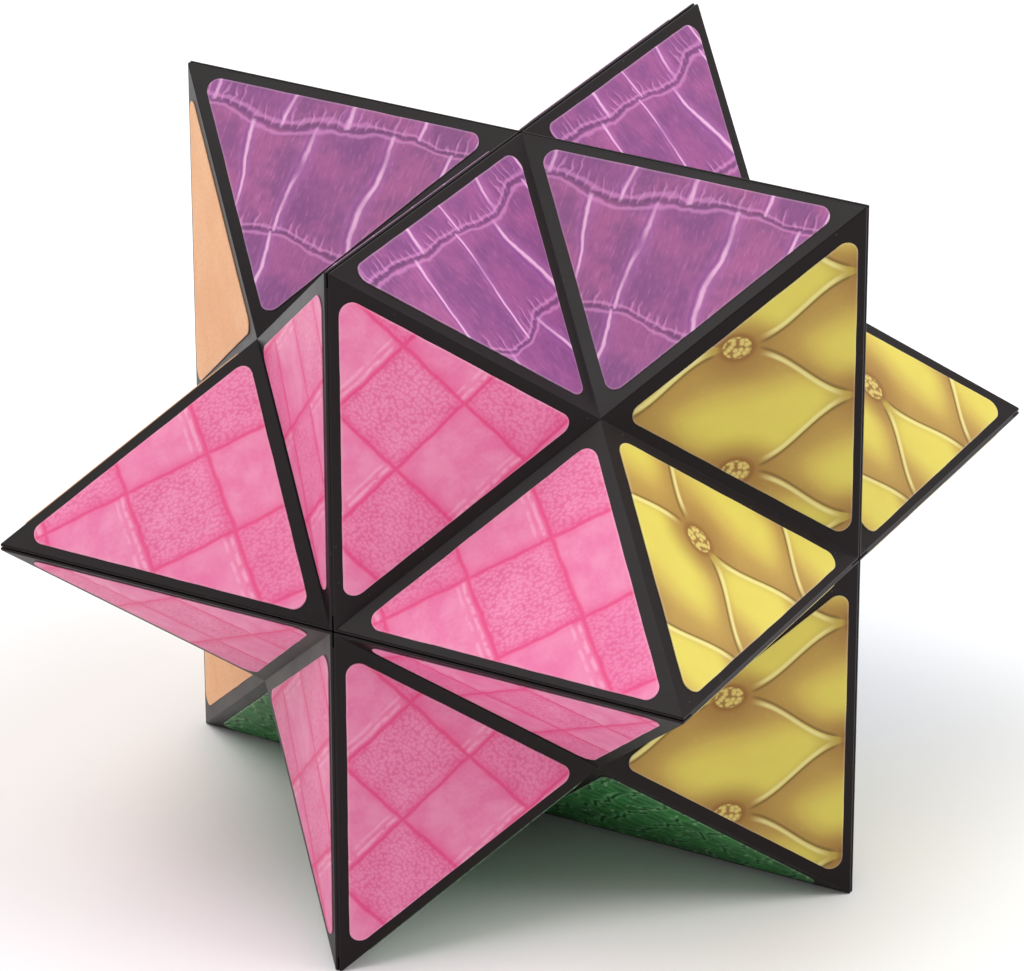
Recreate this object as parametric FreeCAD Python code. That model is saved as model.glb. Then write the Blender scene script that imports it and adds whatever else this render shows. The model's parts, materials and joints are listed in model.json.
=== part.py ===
import FreeCAD, Part
import math
import os

# Folding star puzzle: eight hollow blocks in a closed loop of eight film hinges. Closed up, they form a
# star with twelve four-sided spikes that just fills a cube. Every block fills one octant, and all eight
# are the same star_block shape mirrored about the coordinate planes. The origin is the star's middle,
# +Z is up, and -Y is the front. All sizes are in millimetres.
#
# A block in the octant x, y, z >= 0 is the region where the smallest coordinate plus the largest is at
# most facet_sum. It has three square faces on the coordinate planes and six triangular facets. A facet
# runs from a hub, on a coordinate axis, along a straight ridge to a spike tip, and down to the dimple at
# the middle of the octant.

half_edge = 35.0          # half of the 70 mm cube that the closed star fills
facet_sum = 35.3          # places the facets so that the ridges are cut off blunt at half_edge
seam_gap = 0.07           # each square face stands back this far from its coordinate plane
wall = 1.8                # star shell, measured square to a facet
rim_wall = 1.0            # thinner rim that the corner cap drops into
cap_plate = 1.5           # thickness of the corner cap's three square plates
cap_fit = 0.05            # clearance between the cap's edges and the rim
tongue_gap = 0.1          # clearance between a tongue and the shell's inside
tongue_thick = 1.2
tongue_width = 8.0
tongue_height = 4.0
film = 0.2                # hinge film thickness, let into the block flush
film_reach = 1.5          # how far a hinge leaf reaches from its seam, measured along the axis
film_edge = 0.02          # a leaf stops this far short of the fold line
film_start = 1.6          # leaf's ends, measured along the ridge from the hub
film_end = 33.6
label_thick = 0.12        # a label lies on the facet and laps over the outer edge of a hinge leaf
label_inset = 1.2         # from a facet's sides to the label
label_radius = 1.1        # label corners

ROOT2 = math.sqrt(2.0)
FAR = 3.0 * half_edge     # longer than anything on the block
AXES = "XYZ"
HUB_NAMES = {("X", -1): "left", ("X", 1): "right", ("Y", -1): "front",
             ("Y", 1): "back", ("Z", -1): "bottom", ("Z", 1): "top"}

# Each hinge joins two blocks along one ridge. The ridge runs from a hub along one axis, and the seam
# lies in the coordinate plane of the third axis: (hub axis, axis it runs along, axis across the seam).
HINGES = {
    "left_lower": (("lower_left_back", "lower_left_front"), "XZY"),
    "left_upper": (("upper_left_back", "upper_left_front"), "XZY"),
    "front_lower": (("lower_left_front", "lower_right_front"), "YZX"),
    "front_upper": (("upper_left_front", "upper_right_front"), "YZX"),
    "back_lower": (("lower_left_back", "lower_right_back"), "YZX"),
    "back_upper": (("upper_left_back", "upper_right_back"), "YZX"),
    "right_front": (("lower_right_front", "upper_right_front"), "XYZ"),
    "right_back": (("lower_right_back", "upper_right_back"), "XYZ"),
}


def blocks():
    """Every block's name and the signs of its octant."""
    for level, z in (("lower", -1), ("upper", 1)):
        for side, x in (("left", -1), ("right", 1)):
            for depth, y in (("front", -1), ("back", 1)):
                yield f"{level}_{side}_{depth}", (x, y, z)


def point(values):
    """A point from a dictionary of axis name to coordinate."""
    return FreeCAD.Vector(*[values.get(axis, 0.0) for axis in AXES])


def span(ranges):
    """A box with the given low and high along each named axis, and 0 to FAR along the others."""
    lows = [ranges.get(axis, (0.0, FAR))[0] for axis in AXES]
    highs = [ranges.get(axis, (0.0, FAR))[1] for axis in AXES]
    sizes = [high - low for low, high in zip(lows, highs)]
    return Part.makeBox(*sizes, FreeCAD.Vector(*lows))


def cube(low, high):
    return span({axis: (low, high) for axis in AXES})


def other_axes(axis):
    return [name for name in AXES if name != axis]


def star_octant(edge):
    """The sharp star octant of the given edge: three squares and six triangles."""
    origin = point({})
    dimple = point({axis: edge / 2 for axis in AXES})
    outlines = []
    for hub in AXES:
        first, second = other_axes(hub)
        square = [origin, point({first: edge}), point({first: edge, second: edge}), point({second: edge})]
        outlines.append(square)
        for run in (first, second):
            outlines.append([point({hub: edge}), point({hub: edge, run: edge}), dimple])
    faces = [Part.Face(Part.makePolygon(outline + outline[:1])) for outline in outlines]
    solid = Part.makeSolid(Part.makeShell(faces))
    if solid.Volume < 0:
        solid.reverse()
    return solid


def blunt_octant(edge, top):
    """A star octant with its ridges and tips cut off flat at top."""
    return star_octant(edge).common(cube(0.0, top))


def inner_edge(depth):
    """The edge of the star octant whose facets lie this deep below the block's own."""
    return facet_sum - depth * ROOT2


def hinge_leaf(hub, run, across):
    """The half of a film hinge on one block: it wraps the blunt ridge and ends on the facet."""
    band = span({run: (film_start, film_end), across: (film_edge, film_reach), hub: (half_edge / 2, FAR)})
    outside = blunt_octant(facet_sum, half_edge).common(band)
    return outside.cut(blunt_octant(inner_edge(film), half_edge - film))


def star_shell(leaves):
    """The outer shell of a block, with a stepped rim for the corner cap and seats for its two leaves."""
    cap_back = seam_gap + cap_plate
    shell = blunt_octant(facet_sum, half_edge).common(cube(seam_gap, FAR))
    shell = shell.cut(star_octant(inner_edge(wall)))
    shell = shell.cut(star_octant(inner_edge(rim_wall)).cut(cube(cap_back, FAR)))
    for leaf in leaves:
        shell = shell.cut(leaf)
    return shell


def corner_cap():
    """Three square plates that close the block, with two tongues on each that grip the shell."""
    cap_back = seam_gap + cap_plate
    cap = star_octant(inner_edge(rim_wall + cap_fit)).common(cube(seam_gap, FAR))
    cap = cap.cut(cube(cap_back, FAR))
    tongue_face = wall + tongue_gap
    sleeve = star_octant(inner_edge(tongue_face)).cut(star_octant(inner_edge(tongue_face + tongue_thick)))
    middle = half_edge / 2
    for normal in AXES:
        for toward in other_axes(normal):
            along = [axis for axis in other_axes(normal) if axis != toward][0]
            place = span({
                normal: (cap_back - cap_plate / 2, cap_back + tongue_height),
                along: (middle - tongue_width / 2, middle + tongue_width / 2),
                toward: (middle, FAR),
            })
            cap = cap.fuse(sleeve.common(place))
    return cap.removeSplitter()


def inset_corners(corners, inset):
    """A triangle's corners moved in, so that each side moves in by the same distance."""
    moved = []
    for i, corner in enumerate(corners):
        to_next = (corners[(i + 1) % 3] - corner).normalize()
        to_last = (corners[i - 1] - corner).normalize()
        half_angle = to_next.getAngle(to_last) / 2
        middle = (to_next + to_last).normalize()
        moved.append(corner + middle * (inset / math.sin(half_angle)))
    return moved


def rounded_triangle(corners, radius):
    """A wire through a triangle's corners, each rounded by an arc."""
    arcs = []
    for i, corner in enumerate(corners):
        to_next = (corners[(i + 1) % 3] - corner).normalize()
        to_last = (corners[i - 1] - corner).normalize()
        half_angle = to_next.getAngle(to_last) / 2
        middle = (to_next + to_last).normalize()
        reach = radius / math.tan(half_angle)
        nearest = corner + middle * (radius / math.sin(half_angle) - radius)
        arcs.append((corner + to_last * reach, nearest, corner + to_next * reach))
    edges = []
    for i, (start, nearest, end) in enumerate(arcs):
        edges.append(Part.Arc(start, nearest, end).toShape())
        edges.append(Part.LineSegment(end, arcs[(i + 1) % 3][0]).toShape())
    return Part.Wire(edges)


def facet_label(hub, run):
    """The printed label on the facet between a hub and the spike that lies from it along run."""
    across = [axis for axis in other_axes(hub) if axis != run][0]
    corners = [
        point({hub: facet_sum}),
        point({hub: facet_sum, run: facet_sum}),
        point({axis: facet_sum / 2 for axis in AXES}),
    ]
    outline = rounded_triangle(inset_corners(corners, label_inset), label_radius)
    outward = point({hub: 1.0, across: 1.0}).normalize()
    return Part.Face(outline).extrude(outward * label_thick)


def in_octant(shape, signs):
    """The shape mirrored from the octant x, y, z >= 0 into the octant with these signs."""
    for axis, sign in zip(AXES, signs):
        if sign < 0:
            shape = shape.mirror(point({}), point({axis: 1.0}))
    return shape


def save(shape, node):
    if not shape.isValid():
        raise RuntimeError(node + " is not valid")
    shape.exportStep("parts/" + node + ".step")
    print(f"{node}: {len(shape.Solids)} solid(s), {abs(shape.Volume):.1f} mm3")


def make_block(name, signs):
    """All the nodes of one block: shell, cap, two hinge leaves and three pairs of labels."""
    leaves = {}
    for hinge, (pair, ridge) in HINGES.items():
        if name in pair:
            leaves[hinge] = hinge_leaf(*ridge)
    save(in_octant(star_shell(leaves.values()), signs), "star_shell_" + name)
    save(in_octant(corner_cap(), signs), "corner_cap_" + name)
    for hinge, leaf in leaves.items():
        save(in_octant(leaf, signs), f"leaf_{hinge}_on_{name}")
    for hub, sign in zip(AXES, signs):
        labels = [in_octant(facet_label(hub, run), signs) for run in other_axes(hub)]
        side = HUB_NAMES[(hub, sign)]
        save(Part.makeCompound(labels), f"labels_{side}_on_{name}")


os.makedirs("parts", exist_ok=True)
for block_name, octant_signs in blocks():
    make_block(block_name, octant_signs)
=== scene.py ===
"""Looks of the folding star puzzle: rounded black shells, printed labels, floor, light and camera."""

import json
import math
import random

import bmesh
import bpy
from mathutils import Matrix, Vector

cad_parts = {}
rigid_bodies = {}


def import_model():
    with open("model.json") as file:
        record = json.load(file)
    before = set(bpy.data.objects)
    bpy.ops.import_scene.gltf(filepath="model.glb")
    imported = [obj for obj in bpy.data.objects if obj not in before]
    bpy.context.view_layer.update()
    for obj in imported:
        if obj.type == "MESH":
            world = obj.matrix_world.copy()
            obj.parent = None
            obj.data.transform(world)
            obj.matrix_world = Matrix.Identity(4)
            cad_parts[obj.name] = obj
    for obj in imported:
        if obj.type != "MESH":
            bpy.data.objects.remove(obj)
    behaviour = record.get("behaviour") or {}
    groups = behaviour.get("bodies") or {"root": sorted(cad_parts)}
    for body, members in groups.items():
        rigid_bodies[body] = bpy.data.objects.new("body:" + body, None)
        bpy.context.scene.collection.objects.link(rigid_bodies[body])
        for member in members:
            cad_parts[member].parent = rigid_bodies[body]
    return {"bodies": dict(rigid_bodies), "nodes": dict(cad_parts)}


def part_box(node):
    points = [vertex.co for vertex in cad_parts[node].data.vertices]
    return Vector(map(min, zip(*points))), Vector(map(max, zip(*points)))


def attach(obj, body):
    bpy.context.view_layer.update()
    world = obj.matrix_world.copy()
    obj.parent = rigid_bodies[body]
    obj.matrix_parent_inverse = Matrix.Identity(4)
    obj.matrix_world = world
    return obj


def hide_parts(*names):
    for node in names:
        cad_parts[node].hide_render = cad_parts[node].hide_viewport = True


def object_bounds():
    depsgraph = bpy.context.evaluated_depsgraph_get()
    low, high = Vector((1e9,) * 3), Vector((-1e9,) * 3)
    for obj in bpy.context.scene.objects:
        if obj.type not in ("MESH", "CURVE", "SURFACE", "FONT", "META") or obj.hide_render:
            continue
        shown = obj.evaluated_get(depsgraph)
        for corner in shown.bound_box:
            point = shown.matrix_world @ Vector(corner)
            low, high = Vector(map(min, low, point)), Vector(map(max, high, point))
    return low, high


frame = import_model()
cad_box = [list(corner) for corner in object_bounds()]

MM = 0.001             # the frame is in metres, and the lengths here are in millimetres
HALF_EDGE = 35.0       # half of the cube that the closed star fills
FACET_SUM = 35.3       # length of a facet's long side, and the hub's distance from the middle
LABEL_INSET = 1.2      # from a facet's sides to its label
LABEL_RADIUS = 1.1     # the label's corners
LABEL_THICK = 0.12     # the label's film
LABEL_SLIP = (0.14, 0.10)   # how far a label may lie off its place, along u and v
LABEL_TURN = 0.35      # and how far it may be turned, in degrees
PRINT_SLIP = 0.25      # how far a print may lie off on its label, either way
SHELL_ROUNDING = 0.07  # moulded edges of a shell and a hinge film
CAP_ROUNDING = 0.15    # and of a corner cap
SHARP = math.radians(20)   # an edge that turns by more than this stays crisp, and may be rounded
AXES = "XYZ"
HUB_AXIS = {"left": ("X", -1), "right": ("X", 1), "front": ("Y", -1),
            "back": ("Y", 1), "bottom": ("Z", -1), "top": ("Z", 1)}


# ---- node graphs -------------------------------------------------------------------------------------

class Wire:
    """A number or colour that leaves a node, with the usual sums."""

    def __init__(self, graph, socket):
        self.graph = graph
        self.socket = socket

    def __add__(self, other):
        return self.graph.math("ADD", self, other)

    def __sub__(self, other):
        return self.graph.math("SUBTRACT", self, other)

    def __mul__(self, other):
        return self.graph.math("MULTIPLY", self, other)

    def __truediv__(self, other):
        return self.graph.math("DIVIDE", self, other)

    def __rsub__(self, other):
        return self.graph.math("SUBTRACT", other, self)

    __radd__ = __add__
    __rmul__ = __mul__


class Graph:
    """One material's node tree, and short calls that add nodes to it."""

    def __init__(self, name):
        self.material = bpy.data.materials.new(name)
        self.material.use_nodes = True
        self.tree = self.material.node_tree
        self.tree.nodes.clear()

    def plug(self, socket, value):
        if isinstance(value, Wire):
            self.tree.links.new(value.socket, socket)
        elif isinstance(value, tuple) and socket.type == "RGBA":
            socket.default_value = (*value[:3], 1.0)
        else:
            socket.default_value = value

    def node(self, kind, inputs=None, **settings):
        made = self.tree.nodes.new("ShaderNode" + kind)
        for key, value in settings.items():
            setattr(made, key, value)
        for key, value in (inputs or {}).items():
            self.plug(made.inputs[key], value)
        return made

    def math(self, operation, *values, clamp=False):
        made = self.node("Math", dict(enumerate(values)), operation=operation, use_clamp=clamp)
        return Wire(self, made.outputs[0])

    def step(self, value, low, high):
        """0 below low and 1 above high, smooth between them. With low above high it falls instead."""
        inputs = {"Value": value, "From Min": low, "From Max": high}
        made = self.node("MapRange", inputs, interpolation_type="SMOOTHSTEP")
        return Wire(self, made.outputs["Result"])

    def nearest(self, value):
        """Distance to the nearest whole number."""
        return self.math("ABSOLUTE", value - self.math("ROUND", value))

    def mix(self, factor, first, second, blend="MIX"):
        made = self.node("Mix", data_type="RGBA", blend_type=blend)
        self.plug(made.inputs[0], factor)
        self.plug(made.inputs[6], first)
        self.plug(made.inputs[7], second)
        return Wire(self, made.outputs[2])

    def vector(self, x, y, z=0.0):
        made = self.node("CombineXYZ", {"X": x, "Y": y, "Z": z})
        return Wire(self, made.outputs[0])

    def parts(self, vector):
        made = self.node("SeparateXYZ", {0: vector})
        return [Wire(self, output) for output in made.outputs]

    def noise(self, vector, scale, detail=2.0, rough=0.5):
        inputs = {"Vector": vector, "Scale": scale, "Detail": detail, "Roughness": rough}
        return Wire(self, self.node("TexNoise", inputs).outputs[0])

    def voronoi(self, vector, scale, feature="F1", spread=1.0, flat=True):
        """Distance to the nearest cell's middle, or to its edge, over a print or through a solid."""
        inputs = {"Vector": vector, "Scale": scale, "Randomness": spread}
        made = self.node("TexVoronoi", inputs, feature=feature, voronoi_dimensions="2D" if flat else "3D")
        return Wire(self, made.outputs["Distance"])

    def hash(self, vector):
        """A steady random number for each vector."""
        return Wire(self, self.node("TexWhiteNoise", {"Vector": vector}).outputs["Value"])

    def object_place(self):
        return Wire(self, self.node("TexCoord").outputs["Object"])

    def print_place(self):
        """Where a point lies on its print, in millimetres."""
        return Wire(self, self.node("UVMap", uv_map="print").outputs[0])

    def mark(self, name):
        return Wire(self, self.node("Attribute", attribute_name=name).outputs["Fac"])

    def bump(self, height, strength, distance):
        inputs = {"Height": height, "Strength": strength, "Distance": distance}
        return Wire(self, self.node("Bump", inputs).outputs[0])

    def finish(self, **inputs):
        names = {key.replace("_", " "): value for key, value in inputs.items()}
        surface = self.node("BsdfPrincipled", names)
        output = self.node("OutputMaterial")
        self.tree.links.new(surface.outputs[0], output.inputs[0])
        return self.material


def shade(red, green, blue):
    """A colour from its 0 to 255 screen values."""
    def linear(level):
        level = level / 255.0
        return level / 12.92 if level <= 0.04045 else ((level + 0.055) / 1.055) ** 2.4
    return (linear(red), linear(green), linear(blue))


# ---- black plastic -----------------------------------------------------------------------------------

def black_plastic(name, base, rough, grain):
    """Moulded black plastic: fine grain, uneven gloss, faint scuffs and a little dust."""
    g = Graph(name)
    place = g.object_place()
    blotches = g.noise(place, 90.0, 4.0, 0.6)
    fine = g.noise(place, 2600.0, 2.0, 0.6)
    scuffs = g.step(g.noise(place, 420.0, 6.0, 0.75), 0.60, 0.72)
    dust = g.step(g.voronoi(place, 900.0, flat=False), 0.10, 0.04) * g.step(blotches, 0.52, 0.62)
    colour = g.mix(blotches, base, tuple(level * 1.7 for level in base))
    colour = g.mix(scuffs * 0.25, colour, (0.035, 0.034, 0.033))
    colour = g.mix(dust * 0.5, colour, (0.10, 0.095, 0.09))
    gloss = rough + (blotches - 0.5) * 0.22 + scuffs * 0.14 + fine * 0.05
    return g.finish(
        Base_Color=colour,
        Roughness=gloss,
        Specular_IOR_Level=0.16,
        Normal=g.bump(fine + blotches * 0.8, grain, 0.00003),
    )


# ---- the six prints ----------------------------------------------------------------------------------

def film_surface(g, colour, height):
    """A print under its satin film, with the pale cut edge that the label's rim shows."""
    place = g.object_place()
    edge = g.mark("rim")
    ripple = g.noise(place, 160.0, 2.0, 0.5)
    fibre = g.noise(place, 1500.0, 3.0, 0.6)
    pale = g.mix(0.4, colour, (0.72, 0.68, 0.66))
    colour = g.mix(edge * 0.35, colour, pale)
    return g.finish(
        Base_Color=colour,
        Roughness=0.34 + ripple * 0.14 + fibre * 0.06,
        Specular_IOR_Level=0.22,
        Normal=g.bump(ripple * 3.0 + fibre * 0.3 + height * 0.5, 0.35, 0.00004),
    )


def crocodile_print(name):
    """Rows of large scales: dark creases between rows, pale ones between scales, and short wrinkles."""
    g = Graph(name)
    row_height = 10.6
    column_width = 7.0
    tick_pitch = 0.95
    u, v, _ = g.parts(g.print_place())
    drift = g.vector(u * 0.07, v * 0.07)
    bend = g.noise(drift, 1.0, 1.0) - 0.5
    sway = g.noise(g.vector(u * 0.09 + 31.0, v * 0.06), 1.0, 1.0) - 0.5
    kink = g.noise(g.vector(u * 0.55, v * 0.55 + 9.0), 1.0, 2.0) - 0.5
    level_rows = (v + bend * 7.0 + kink * 0.8) / row_height
    plain_columns = (u + sway * 7.0 + kink * 0.4) / column_width

    # Each crease between rows steps up or down where a pale crease of the row below meets it.
    under = g.math("ROUND", level_rows) - 1.0
    meeting = plain_columns + g.hash(g.vector(under, under * 3.1 + 5.0))
    at = g.math("FLOOR", meeting)
    here = g.hash(g.vector(at, under + 0.5))
    ahead = g.hash(g.vector(at + 1.0, under + 0.5))
    rows = level_rows + (here + (ahead - here) * g.step(meeting - at, 0.50, 1.02) - 0.5) * 0.15
    row = g.math("FLOOR", rows)
    columns = plain_columns + g.hash(g.vector(row, row * 3.1 + 5.0))
    column = g.math("FLOOR", columns)
    scale_tone = g.hash(g.vector(row, column))
    across_row = g.nearest(rows) * row_height
    across_column = g.nearest(columns) * column_width

    weave = g.noise(g.vector(u * 0.35, v * 0.16), 1.0, 5.0, 0.65)
    hair = g.noise(g.vector(u * 3.2, v * 0.8), 1.0, 3.0, 0.6)
    patches = g.noise(g.vector(u * 0.2 + 7.0, v * 0.2), 1.0, 3.0, 0.6)
    colour = g.mix(g.step(patches, 0.38, 0.62), shade(132, 72, 124), shade(160, 85, 136))
    colour = g.mix(g.step(weave, 0.45, 0.75) * 0.5, colour, shade(116, 66, 118))
    colour = g.mix(g.step(hair, 0.52, 0.72) * 0.42, colour, shade(186, 110, 166))
    colour = g.mix(g.step(hair, 0.48, 0.30) * 0.38, colour, shade(112, 60, 112))
    colour = g.mix(g.step(scale_tone, 0.2, 1.0) * 0.34, colour, shade(112, 58, 122))

    # Short wrinkles hang from each dark crease, in some stretches only.
    below = (1.0 - (rows - row)) * row_height
    ticks = (u + kink * 1.6) / tick_pitch
    tick = g.math("ROUND", ticks)
    tick_length = 0.9 + g.hash(g.vector(tick, row)) * 2.1
    stretch = g.step(g.noise(g.vector(u * 0.16, row * 4.0), 1.0, 1.0), 0.30, 0.50)
    hang = g.step(below, tick_length, tick_length * 0.4) * stretch
    aside = (ticks - tick) * tick_pitch
    wrinkles = g.step(g.math("ABSOLUTE", aside), 0.17, 0.03) * hang
    hollows = g.step(g.math("ABSOLUTE", aside - 0.26), 0.22, 0.04) * hang
    colour = g.mix(wrinkles * 0.56, colour, shade(206, 134, 186))
    colour = g.mix(hollows * 0.46, colour, shade(104, 54, 106))

    # Pale creases between scales fade into a softer shade on one side.
    side = g.step(columns - g.math("ROUND", columns), 0.0, 0.06)
    soft = g.step(across_column, 1.2, 0.1)
    colour = g.mix(soft * 0.28, colour, shade(190, 110, 182))
    strength = g.step(g.noise(g.vector(u * 0.2, v * 0.2 + 40.0), 1.0, 1.0), 0.25, 0.55)
    crease = g.step(across_column, 0.25, 0.07) * strength
    colour = g.mix(crease * 0.84, colour, shade(226, 176, 210))
    shadow = g.step(across_column, 0.62, 0.34) * g.step(across_column, 0.25, 0.36) * side
    colour = g.mix(shadow * 0.6, colour, shade(120, 56, 128))

    # Dark creases between rows, with a thin pale line along both edges.
    lip = g.step(across_row, 0.66, 0.40) * g.step(across_row, 0.18, 0.34)
    colour = g.mix(lip * 0.48, colour, shade(206, 134, 190))
    furrow = g.step(across_row, 0.30, 0.02) * (0.62 + g.step(kink, -0.12, 0.12) * 0.38)
    colour = g.mix(furrow * 0.76, colour, shade(96, 50, 96))
    height = 1.0 - g.math("MAXIMUM", furrow, crease)
    return film_surface(g, colour, height)


def patchwork_print(name):
    """Square leather patches, smooth and pebbled in turn, with dark seams and pale pressed lines."""
    g = Graph(name)
    patch = 8.4
    a, b, _ = g.parts(g.print_place())
    warp = g.noise(g.vector(a * 0.35, b * 0.35), 1.0, 1.0) - 0.5
    tile_a = a / patch + warp * 0.06
    tile_b = b / patch - warp * 0.05
    index_a = g.math("FLOOR", tile_a)
    index_b = g.math("FLOOR", tile_b)
    smooth_tile = g.math("PINGPONG", index_a + index_b, 1.0)
    tone = g.hash(g.vector(index_a, index_b))
    in_a = tile_a - index_a
    in_b = tile_b - index_b
    edge_a = g.nearest(tile_a) * patch
    edge_b = g.nearest(tile_b) * patch

    cloud = g.noise(g.vector(a * 0.3, b * 0.3), 1.0, 4.0, 0.6)
    fine = g.noise(g.vector(a * 2.6, b * 2.6), 1.0, 3.0, 0.6)
    pebble = g.voronoi(g.vector(a * 0.8 + fine * 0.5, b), 3.1)
    pebbles = g.step(pebble, 0.62, 0.18)
    pits = g.step(pebble, 0.45, 0.75)
    smooth = g.mix(g.step(cloud, 0.35, 0.7), shade(232, 142, 178), shade(226, 116, 162))
    smooth = g.mix(g.step(fine, 0.5, 0.8) * 0.25, smooth, shade(244, 166, 198))
    rough = g.mix(g.step(cloud, 0.3, 0.7), shade(228, 126, 168), shade(220, 102, 150))
    rough = g.mix(pebbles * 0.24, rough, shade(247, 176, 204))
    rough = g.mix(pits * 0.24, rough, shade(214, 74, 132))
    colour = g.mix(smooth_tile, rough, smooth)
    colour = g.mix(tone * 0.22, colour, shade(224, 92, 148))

    # Each patch darkens towards two of its edges, where it bends down to the seam.
    dip = g.math("MAXIMUM", g.step(in_a, 0.80, 1.0), g.step(in_b, 0.20, 0.0))
    colour = g.mix(dip * 0.34, colour, shade(222, 70, 132))

    # Pale pressed lines run beside the seam where a smooth patch ends.
    beside = (1.0 - in_a) * patch
    first = g.step(g.math("ABSOLUTE", beside - 0.55), 0.26, 0.10)
    second = g.step(g.math("ABSOLUTE", beside - 1.25), 0.22, 0.08)
    broken = g.step(g.noise(g.vector(a * 0.9, b * 0.9), 1.0, 2.0), 0.36, 0.56)
    pressed = g.math("MAXIMUM", first, second * 0.6) * smooth_tile * broken
    colour = g.mix(pressed * 0.45, colour, shade(248, 196, 216))

    seam_width = 0.30 + (g.noise(g.vector(a * 0.5, b * 0.5 + 3.0), 1.0, 1.0) - 0.5) * 0.22
    seam = g.math("MAXIMUM", g.step(edge_a, seam_width, 0.06), g.step(edge_b, seam_width, 0.06))
    halo = g.math("MAXIMUM", g.step(edge_a, 0.95, 0.25), g.step(edge_b, 0.95, 0.25))
    colour = g.mix(halo * 0.22, colour, shade(226, 74, 136))
    colour = g.mix(seam * 0.72, colour, shade(222, 62, 122))
    height = smooth_tile * 0.3 + (1.0 - smooth_tile) * pebbles * 0.6 - seam
    return film_surface(g, colour, height)


def tufted_print(name):
    """Button-tufted gold upholstery: tall diamonds with pleats between beaded buttons."""
    g = Graph(name)
    u, v, _ = g.parts(g.print_place())
    wide = 12.2            # from button to button
    drop = 12.7            # from row to row
    square_on = wide * 0.82   # turns a share of the width into a distance square to a pleat
    down = v / -drop
    row = g.math("FLOOR", down)
    t = down - row
    curve = t - g.math("SINE", t * (2.0 * math.pi)) * 0.12
    columns = u / wide - row * 0.5
    falling = columns - curve * 0.5
    rising = columns + curve * 0.5
    in_falling = g.math("FRACT", falling)
    in_rising = g.math("FRACT", rising)
    grain = g.noise(g.vector(u * 2.0, v * 2.0), 1.0, 4.0, 0.6)
    cloud = g.noise(g.vector(u * 0.25, v * 0.25), 1.0, 2.0, 0.5)

    # Each puff is bright to the left of its middle and browns to the right and under the button above.
    glow = g.step(in_falling, 1.04, 0.36) * g.step(in_rising, -0.02, 0.36)
    glow = glow * g.step(in_rising + in_falling, 1.95, 0.9)
    colour = g.mix(g.step(glow, 0.0, 0.50), shade(172, 138, 70), shade(194, 166, 80))
    colour = g.mix(g.step(glow, 0.30, 1.00), colour, shade(211, 196, 88))
    colour = g.mix(g.step(grain, 0.55, 0.8) * 0.10, colour, shade(240, 232, 140))
    colour = g.mix(g.step(cloud, 0.4, 0.7) * 0.12, colour, shade(196, 160, 76))

    # Buttons sit where the pleats meet.
    button_row = g.math("ROUND", down)
    from_row = (down - button_row) * drop
    button_column = u / wide - button_row * 0.5
    from_column = (button_column - g.math("ROUND", button_column)) * wide
    from_button = g.math("SQRT", from_column * from_column * 1.75 + from_row * from_row * 1.05)
    colour = g.mix(g.step(from_button, 5.6, 1.0) * 0.62, colour, shade(138, 94, 46))

    # Pleats: a cream roll over a thin dark line, sunk into a soft brown valley.
    near_falling = g.nearest(falling) * square_on
    near_rising = g.nearest(rising) * square_on
    valley = g.math("MAXIMUM", g.step(near_falling, 1.3, 0.1), g.step(near_rising, 1.3, 0.1))
    clear = g.step(from_button, 1.9, 2.9)
    colour = g.mix(valley * 0.24 * clear, colour, shade(158, 118, 58))
    over_falling = in_falling * square_on
    over_rising = (1.0 - in_rising) * square_on
    fade = g.step(from_button, 2.2, 4.4)
    roll = g.math(
        "MAXIMUM",
        g.step(g.math("ABSOLUTE", over_falling - 0.28), 0.31, 0.05),
        g.step(g.math("ABSOLUTE", over_rising - 0.28), 0.31, 0.05),
    )
    colour = g.mix(roll * 0.8 * fade, colour, shade(226, 216, 146))
    under_falling = (1.0 - in_falling) * square_on
    under_rising = in_rising * square_on
    line = g.math(
        "MAXIMUM",
        g.step(g.math("ABSOLUTE", under_falling - 0.10), 0.24, 0.05),
        g.step(g.math("ABSOLUTE", under_rising - 0.10), 0.24, 0.05),
    )
    colour = g.mix(line * 0.75 * clear, colour, shade(116, 94, 46))

    beads = g.voronoi(g.vector(from_column + 4.2, from_row * 0.9 + 4.2), 2.1, spread=0.7)
    disc = g.step(from_button, 1.50, 1.30)
    dark_ring = g.step(from_button, 2.20, 1.45)
    colour = g.mix(dark_ring * 0.7, colour, shade(132, 84, 36))
    bead = g.mix(g.step(beads, 0.66, 0.24), shade(146, 108, 54), shade(206, 184, 104))
    colour = g.mix(disc, colour, bead)
    height = glow * 0.5 + disc - line * 0.5
    return film_surface(g, colour, height)


def fine_leather_print(name, low, middle, high, size=1.0):
    """Plain leather with a fine even grain, in three shades, with its grain enlarged by size."""
    g = Graph(name)
    u, v, _ = g.parts(g.print_place())
    cloud = g.noise(g.vector(u * 0.12, v * 0.12), 1.0, 3.0, 0.6)
    fine = g.noise(g.vector(u * 1.4, v * 1.4), 1.0, 3.0, 0.6)
    cells = g.voronoi(g.vector(u + fine * 0.5, v), 1.6 / size, feature="DISTANCE_TO_EDGE")
    grooves = g.step(cells, 0.16, 0.02)
    pores = g.step(g.voronoi(g.vector(u, v), 0.9 / size), 0.16, 0.05)
    colour = g.mix(g.step(cloud, 0.3, 0.7), middle, high)
    colour = g.mix(g.step(fine, 0.45, 0.8) * 0.3, colour, low)
    colour = g.mix(grooves * 0.34, colour, low)
    colour = g.mix(pores * 0.4, colour, low)
    return film_surface(g, colour, 1.0 - grooves)


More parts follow.
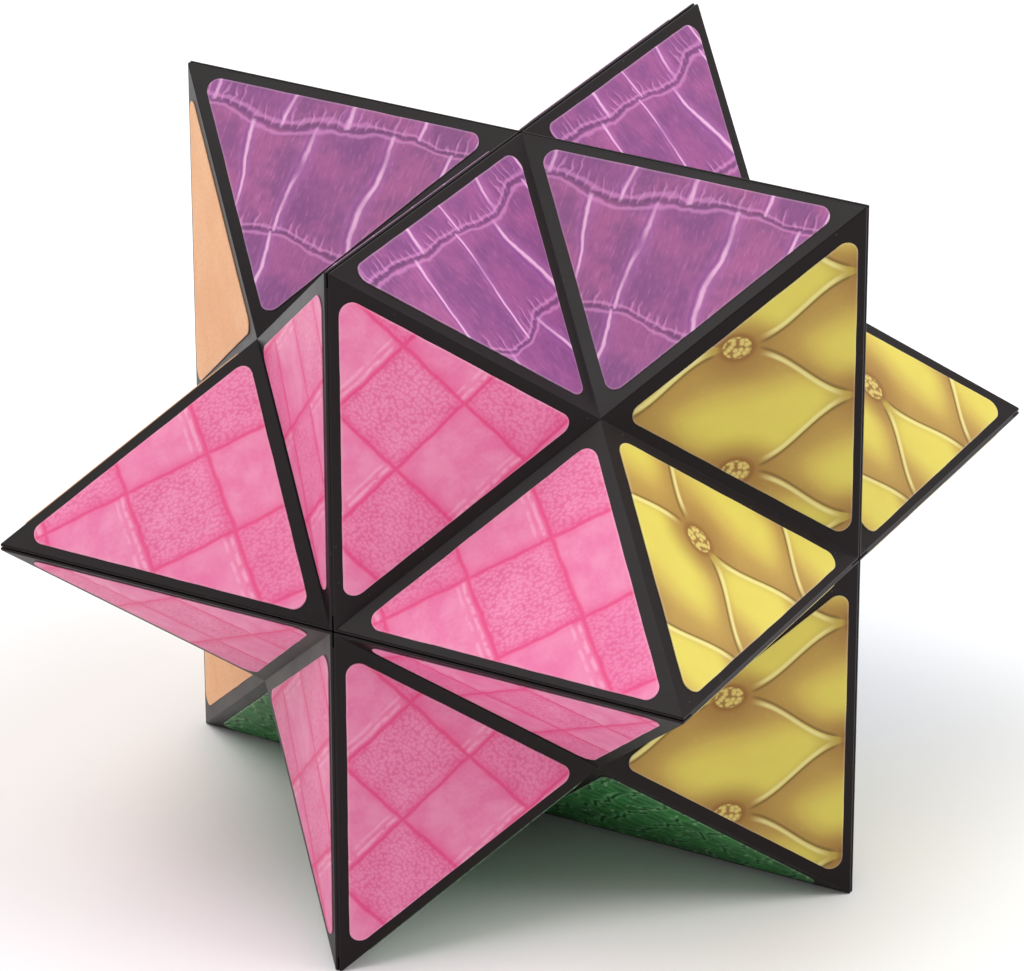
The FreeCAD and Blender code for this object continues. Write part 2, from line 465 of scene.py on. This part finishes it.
def snake_print(name):
    """Dark mottled snakeskin: small overlapping scales with pale flecks."""
    g = Graph(name)
    u, v, _ = g.parts(g.print_place())
    warp = g.noise(g.vector(u * 0.3, v * 0.3), 1.0, 2.0) - 0.5
    lean_u = u * 0.8 + v * 0.6 + warp * 1.4
    lean_v = v * 0.8 - u * 0.6 + warp
    edge = g.voronoi(g.vector(lean_u, lean_v * 0.62), 0.52, feature="DISTANCE_TO_EDGE", spread=0.55)
    tone = g.hash(g.vector(g.math("FLOOR", lean_u * 0.5), g.math("FLOOR", lean_v * 0.33)))
    cloud = g.noise(g.vector(u * 0.18, v * 0.18), 1.0, 4.0, 0.65)
    fine = g.noise(g.vector(u * 2.2, v * 2.2), 1.0, 3.0, 0.7)
    colour = g.mix(g.step(cloud, 0.35, 0.65), shade(18, 74, 28), shade(38, 122, 50))
    colour = g.mix(tone * 0.35, colour, shade(24, 92, 36))
    colour = g.mix(g.step(fine, 0.5, 0.75) * 0.4, colour, shade(70, 150, 76))
    rib = g.step(edge, 0.24, 0.10) * g.step(edge, 0.04, 0.09)
    colour = g.mix(rib * 0.55, colour, shade(104, 172, 112))
    groove = g.step(edge, 0.07, 0.01)
    colour = g.mix(groove * 0.85, colour, shade(6, 34, 18))
    fleck = g.step(g.noise(g.vector(lean_u * 0.55, lean_v * 1.5), 1.0, 2.0), 0.60, 0.70)
    colour = g.mix(fleck * 0.6, colour, shade(150, 196, 138))
    return film_surface(g, colour, 1.0 - groove)


PRINTS = {
    "top": crocodile_print("print_purple_crocodile"),
    "front": patchwork_print("print_pink_patchwork"),
    "right": tufted_print("print_gold_tufted"),
    "left": fine_leather_print(
        "print_orange_leather", shade(220, 146, 92), shade(231, 168, 115), shade(238, 181, 130),
    ),
    "bottom": snake_print("print_green_snake"),
    "back": fine_leather_print(
        "print_blue_leather", shade(20, 62, 120), shade(38, 96, 168), shade(52, 118, 188), 1.8,
    ),
}

# How each of a hub's two label artworks is laid on its print: the point of the label that the print's own
# origin falls on, the turn in degrees, and a shift along the print. Lengths are in millimetres. The first
# is for labels that run along the earlier of the hub's two axes.
ARTWORK = {
    "top": (((0.0, 4.0), 0.0, (0.0, 0.0)), ((0.0, 3.2), 0.0, (84.0, 42.0))),
    "front": (((-6.6, 7.9), 41.0, (8.4, 0.0)), ((-3.0, 12.4), 41.0, (0.0, 0.0))),
    "right": (((0.3, 11.3), 180.0, (0.0, 0.0)), ((-6.6, 12.3), 0.0, (0.0, 0.0))),
    "left": (((0.0, 0.0), 20.0, (0.0, 0.0)), ((0.0, 0.0), -35.0, (60.0, 20.0))),
    "bottom": (((0.0, 0.0), 10.0, (0.0, 0.0)), ((0.0, 0.0), 50.0, (50.0, 30.0))),
    "back": (((0.0, 0.0), 0.0, (0.0, 0.0)), ((0.0, 0.0), 60.0, (40.0, 60.0))),
}


# ---- labels ------------------------------------------------------------------------------------------

def label_outline(rng):
    """The label's outline on its facet: u along the long side, v up from it. The cut wavers a little."""
    arc_steps = 8
    spacing = 0.7
    half = FACET_SUM / 2
    height = FACET_SUM / math.sqrt(2.0)
    corners = [Vector((-half, 0.0)), Vector((half, 0.0)), Vector((0.0, height))]
    outline = []
    for i, corner in enumerate(corners):
        to_next = (corners[(i + 1) % 3] - corner).normalized()
        to_last = (corners[i - 1] - corner).normalized()
        middle = (to_next + to_last).normalized()
        half_angle = to_next.angle(to_last) / 2
        inner = corner + middle * (LABEL_INSET / math.sin(half_angle))
        centre = inner + middle * (LABEL_RADIUS / math.sin(half_angle))
        start = Vector((-to_last.y, to_last.x))
        if start.dot(middle) > 0:
            start = -start
        turn = math.pi - 2 * half_angle
        for k in range(arc_steps + 1):
            spoke = Matrix.Rotation(turn * k / arc_steps, 2) @ start
            outline.append(centre + spoke * LABEL_RADIUS)
    points = []
    for i, here in enumerate(outline):
        ahead = outline[(i + 1) % len(outline)]
        pieces = max(1, round((ahead - here).length / spacing))
        for k in range(pieces):
            points.append(here.lerp(ahead, k / pieces))
    waves = [(rng.uniform(0.004, 0.010), rng.uniform(0, 2 * math.pi), count) for count in (5, 9, 14, 23)]
    wavy = []
    for i, here in enumerate(points):
        along = (points[(i + 1) % len(points)] - points[i - 1]).normalized()
        inward = Vector((-along.y, along.x))
        around = 2 * math.pi * i / len(points)
        wave = sum(size * math.sin(around * count + phase) for size, phase, count in waves)
        wavy.append(here + inward * wave)
    return wavy


def inset(outline, distance):
    """The outline moved in by the distance all the way round."""
    moved = []
    for i, here in enumerate(outline):
        along = (outline[(i + 1) % len(outline)] - outline[i - 1]).normalized()
        moved.append(here + Vector((-along.y, along.x)) * distance)
    return moved


def facet_frame(hub_axis, run_axis, signs):
    """Middle of a facet's long side, and the facet's u, v and outward directions."""
    across = [axis for axis in AXES if axis not in (hub_axis, run_axis)][0]

    def place(**values):
        return Vector([values.get(axis, 0.0) * sign for axis, sign in zip(AXES, signs)])

    hub = place(**{hub_axis: FACET_SUM})
    tip = place(**{hub_axis: FACET_SUM, run_axis: FACET_SUM})
    dimple = place(**{axis: FACET_SUM / 2 for axis in AXES})
    out = place(**{hub_axis: 1.0, across: 1.0}).normalized()
    left, right = (hub, tip) if (tip - hub).cross(dimple - hub).dot(out) > 0 else (tip, hub)
    u = (right - left).normalized()
    return (left + right) / 2, u, out.cross(u), out


def add_label(bm, hub_name, run_axis, signs, rng):
    """One printed label: a thin rounded triangle with a cut edge, laid on its facet by hand."""
    hub_axis = HUB_AXIS[hub_name][0]
    first_run = [axis for axis in AXES if axis != hub_axis][0]
    (at_u, at_v), turn, shift = ARTWORK[hub_name][0 if run_axis == first_run else 1]
    to_print = Matrix.Rotation(math.radians(-turn), 2)
    middle, u, v, out = facet_frame(hub_axis, run_axis, signs)
    slip = Vector([rng.uniform(-limit, limit) for limit in LABEL_SLIP])
    tilt = Matrix.Rotation(math.radians(rng.uniform(-LABEL_TURN, LABEL_TURN)), 2)
    print_slip = Vector([rng.uniform(-PRINT_SLIP, PRINT_SLIP) for _ in range(2)])
    outline = label_outline(rng)

    # Each ring of the label: how far in from its outline, how high, and how much of the pale cut edge.
    rings = [(0.0, 0.0, 1.0), (0.0, 0.085, 1.0), (0.035, LABEL_THICK, 1.0), (0.10, LABEL_THICK, 0.8),
             (0.20, LABEL_THICK, 0.0)]
    uv_layer = bm.loops.layers.uv["print"]
    rim_layer = bm.verts.layers.float["rim"]
    pivot = Vector((0.0, FACET_SUM / math.sqrt(2.0) / 3))
    made = []
    places = {}
    for distance, lift, rim in rings:
        loop = []
        for flat in inset(outline, distance):
            laid = tilt @ (flat - pivot) + pivot + slip
            vertex = bm.verts.new((middle + u * laid.x + v * laid.y + out * lift) * MM)
            vertex[rim_layer] = rim
            places[vertex] = to_print @ (flat + print_slip - Vector((at_u, at_v))) + Vector(shift)
            loop.append(vertex)
        made.append(loop)
    faces = []
    for low, high in zip(made, made[1:]):
        for i in range(len(low)):
            j = (i + 1) % len(low)
            faces.append(bm.faces.new((low[i], low[j], high[j], high[i])))
    faces.append(bm.faces.new(made[-1]))
    faces.append(bm.faces.new(list(reversed(made[0]))))
    for face in faces[:-2]:
        face.smooth = True
    for face in faces:
        for corner in face.loops:
            corner[uv_layer].uv = places[corner.vert]


def build_labels(block, signs, hub_name, rng):
    """One piece for a hub's two labels on a block."""
    bm = bmesh.new()
    bm.loops.layers.uv.new("print")
    bm.verts.layers.float.new("rim")
    for run_axis in AXES:
        if run_axis != HUB_AXIS[hub_name][0]:
            add_label(bm, hub_name, run_axis, signs, rng)
    mesh = bpy.data.meshes.new(f"printed_{hub_name}_{block}")
    bm.to_mesh(mesh)
    bm.free()
    mesh.materials.append(PRINTS[hub_name])
    piece = bpy.data.objects.new(f"printed_{hub_name}_{block}", mesh)
    bpy.context.scene.collection.objects.link(piece)
    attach(piece, block)
    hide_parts(f"labels_{hub_name}_on_{block}")


def signs_of(block):
    """The signs of a block's octant, from its name."""
    level, side, depth = block.split("_")
    return (-1 if side == "left" else 1, -1 if depth == "front" else 1, -1 if level == "lower" else 1)


for number, block in enumerate(sorted(frame["bodies"])):
    signs = signs_of(block)
    for hub_name, (axis, sign) in HUB_AXIS.items():
        if signs[AXES.index(axis)] == sign:
            build_labels(block, signs, hub_name, random.Random(number * 10 + len(hub_name)))


# ---- shells, caps and hinge films ---------------------------------------------------------------------

SHELL = black_plastic("moulded_gloss_black", (0.0062, 0.0032, 0.0036), 0.33, 0.28)
CAP = black_plastic("moulded_satin_black", (0.0070, 0.0044, 0.0048), 0.46, 0.45)
FILM = black_plastic("hinge_film_black", (0.0062, 0.0032, 0.0036), 0.33, 0.20)


def rounded(node, body, finish, width, wanted):
    """A copy of a moulded CAD node whose wanted edges are rounded by the given width in millimetres."""
    bm = bmesh.new()
    bm.from_mesh(frame["nodes"][node].data)
    bmesh.ops.remove_doubles(bm, verts=bm.verts[:], dist=0.002 * MM)
    bmesh.ops.dissolve_limit(bm, angle_limit=math.radians(0.5), verts=bm.verts[:], edges=bm.edges[:])
    weight = bm.edges.layers.float.new("bevel_weight_edge")
    for edge in bm.edges:
        if len(edge.link_faces) == 2 and edge.calc_face_angle(0.0) > SHARP and wanted(edge):
            edge[weight] = 1.0
    for face in bm.faces:
        face.smooth = True
    mesh = bpy.data.meshes.new("rounded_" + node)
    bm.to_mesh(mesh)
    bm.free()
    mesh.materials.append(finish)
    mesh.set_sharp_from_angle(angle=SHARP)
    piece = bpy.data.objects.new("rounded_" + node, mesh)
    bpy.context.scene.collection.objects.link(piece)
    bevel = piece.modifiers.new("edges", "BEVEL")
    bevel.width = width * MM
    bevel.segments = 3
    bevel.limit_method = "WEIGHT"
    bevel.harden_normals = True
    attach(piece, body)
    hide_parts(node)


def inside(vertex, box, slack=0.02 * MM):
    low, high = box
    return all(low[k] - slack <= vertex.co[k] <= high[k] + slack for k in range(3))


def off_the_seats(seats):
    """Every edge of a shell but those of its hinge films' seats, which the films fill flush."""
    return lambda edge: not any(all(inside(vertex, seat) for vertex in edge.verts) for seat in seats)


def on_the_ridge(edge):
    """The long outer edge where a hinge film turns down from the blunt ridge to the facet."""
    outermost = [max(abs(level) for level in vertex.co) for vertex in edge.verts]
    on_top = all(level > (HALF_EDGE - 0.01) * MM for level in outermost)
    return on_top and math.radians(30) < edge.calc_face_angle(0.0) < math.radians(60)


for body in frame["bodies"]:
    leaves = [node for node in frame["nodes"] if node.startswith("leaf_") and node.endswith("_on_" + body)]
    seats = [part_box(leaf) for leaf in leaves]
    rounded("star_shell_" + body, body, SHELL, SHELL_ROUNDING, off_the_seats(seats))
    rounded("corner_cap_" + body, body, CAP, CAP_ROUNDING, lambda edge: True)
    for leaf in leaves:
        rounded(leaf, body, FILM, SHELL_ROUNDING, on_the_ridge)


# ---- floor, light and camera --------------------------------------------------------------------------

def build_floor():
    """A plain pale floor just under the star."""
    radius, clearance = 2.2, 0.02 * MM
    bm = bmesh.new()
    bmesh.ops.create_circle(bm, cap_ends=True, segments=96, radius=radius)
    mesh = bpy.data.meshes.new("floor")
    bm.to_mesh(mesh)
    bm.free()
    floor = bpy.data.objects.new("floor", mesh)
    floor.location = (0.0, 0.0, cad_box[0][2] - clearance)
    bpy.context.scene.collection.objects.link(floor)
    g = Graph("floor_white")
    mesh.materials.append(g.finish(Base_Color=(0.90, 0.90, 0.90), Roughness=0.9, Specular_IOR_Level=0.2))


def build_world():
    """Soft white surroundings: bright overhead and behind, dimmer towards the front and below."""
    world = bpy.data.worlds.new("studio")
    bpy.context.scene.world = world
    world.use_nodes = True
    nodes, links = world.node_tree.nodes, world.node_tree.links
    nodes.clear()
    place = nodes.new("ShaderNodeTexCoord")
    facing = nodes.new("ShaderNodeVectorMath")
    facing.operation = "DOT_PRODUCT"
    facing.inputs[1].default_value = Vector((0.25, -0.85, -0.45)).normalized()
    links.new(place.outputs["Generated"], facing.inputs[0])
    ramp = nodes.new("ShaderNodeMapRange")
    ramp.interpolation_type = "SMOOTHSTEP"
    ramp.inputs["From Min"].default_value = -0.5
    ramp.inputs["From Max"].default_value = 0.8
    ramp.inputs["To Min"].default_value = 0.80
    ramp.inputs["To Max"].default_value = 0.35
    links.new(facing.outputs["Value"], ramp.inputs["Value"])
    background = nodes.new("ShaderNodeBackground")
    background.inputs["Color"].default_value = (1.0, 1.0, 1.0, 1.0)
    links.new(ramp.outputs["Result"], background.inputs["Strength"])
    output = nodes.new("ShaderNodeOutputWorld")
    links.new(background.outputs[0], output.inputs[0])


def add_softbox(name, place, size, power):
    """A square light that faces the star's middle."""
    light = bpy.data.lights.new(name, "AREA")
    light.shape = "SQUARE"
    light.size = size
    light.energy = power
    lamp = bpy.data.objects.new(name, light)
    lamp.location = place
    lamp.rotation_euler = (Vector((0.0, 0.0, 0.0)) - Vector(place)).to_track_quat("-Z", "Y").to_euler()
    bpy.context.scene.collection.objects.link(lamp)


def build_camera():
    """A long lens in front, to the right and above."""
    distance, shift_right, shift_up = 589.0, -0.8, -0.75
    azimuth, elevation, roll = (math.radians(angle) for angle in (28.6, 26.5, -0.15))
    back = Vector((
        math.sin(azimuth) * math.cos(elevation),
        -math.cos(azimuth) * math.cos(elevation),
        math.sin(elevation),
    ))
    level = Vector((math.cos(azimuth), math.sin(azimuth), 0.0))
    rise = back.cross(level)
    right = level * math.cos(roll) + rise * math.sin(roll)
    up = rise * math.cos(roll) - level * math.sin(roll)
    data = bpy.data.cameras.new("camera")
    data.lens = 222.2
    data.sensor_width = 36.0
    data.clip_start = 0.01
    camera = bpy.data.objects.new("camera", data)
    spot = (back * distance + right * shift_right + up * shift_up) * MM
    camera.matrix_world = Matrix.Translation(spot) @ Matrix((right, up, back)).transposed().to_4x4()
    bpy.context.scene.collection.objects.link(camera)
    bpy.context.scene.camera = camera


build_floor()
build_world()
add_softbox("softbox_above", (-0.32, -0.38, 1.0), 0.8, 6.4)
add_softbox("softbox_side", (0.80, 0.30, 0.75), 0.7, 6.4)
build_camera()
bpy.context.scene.view_settings.view_transform = "Standard"
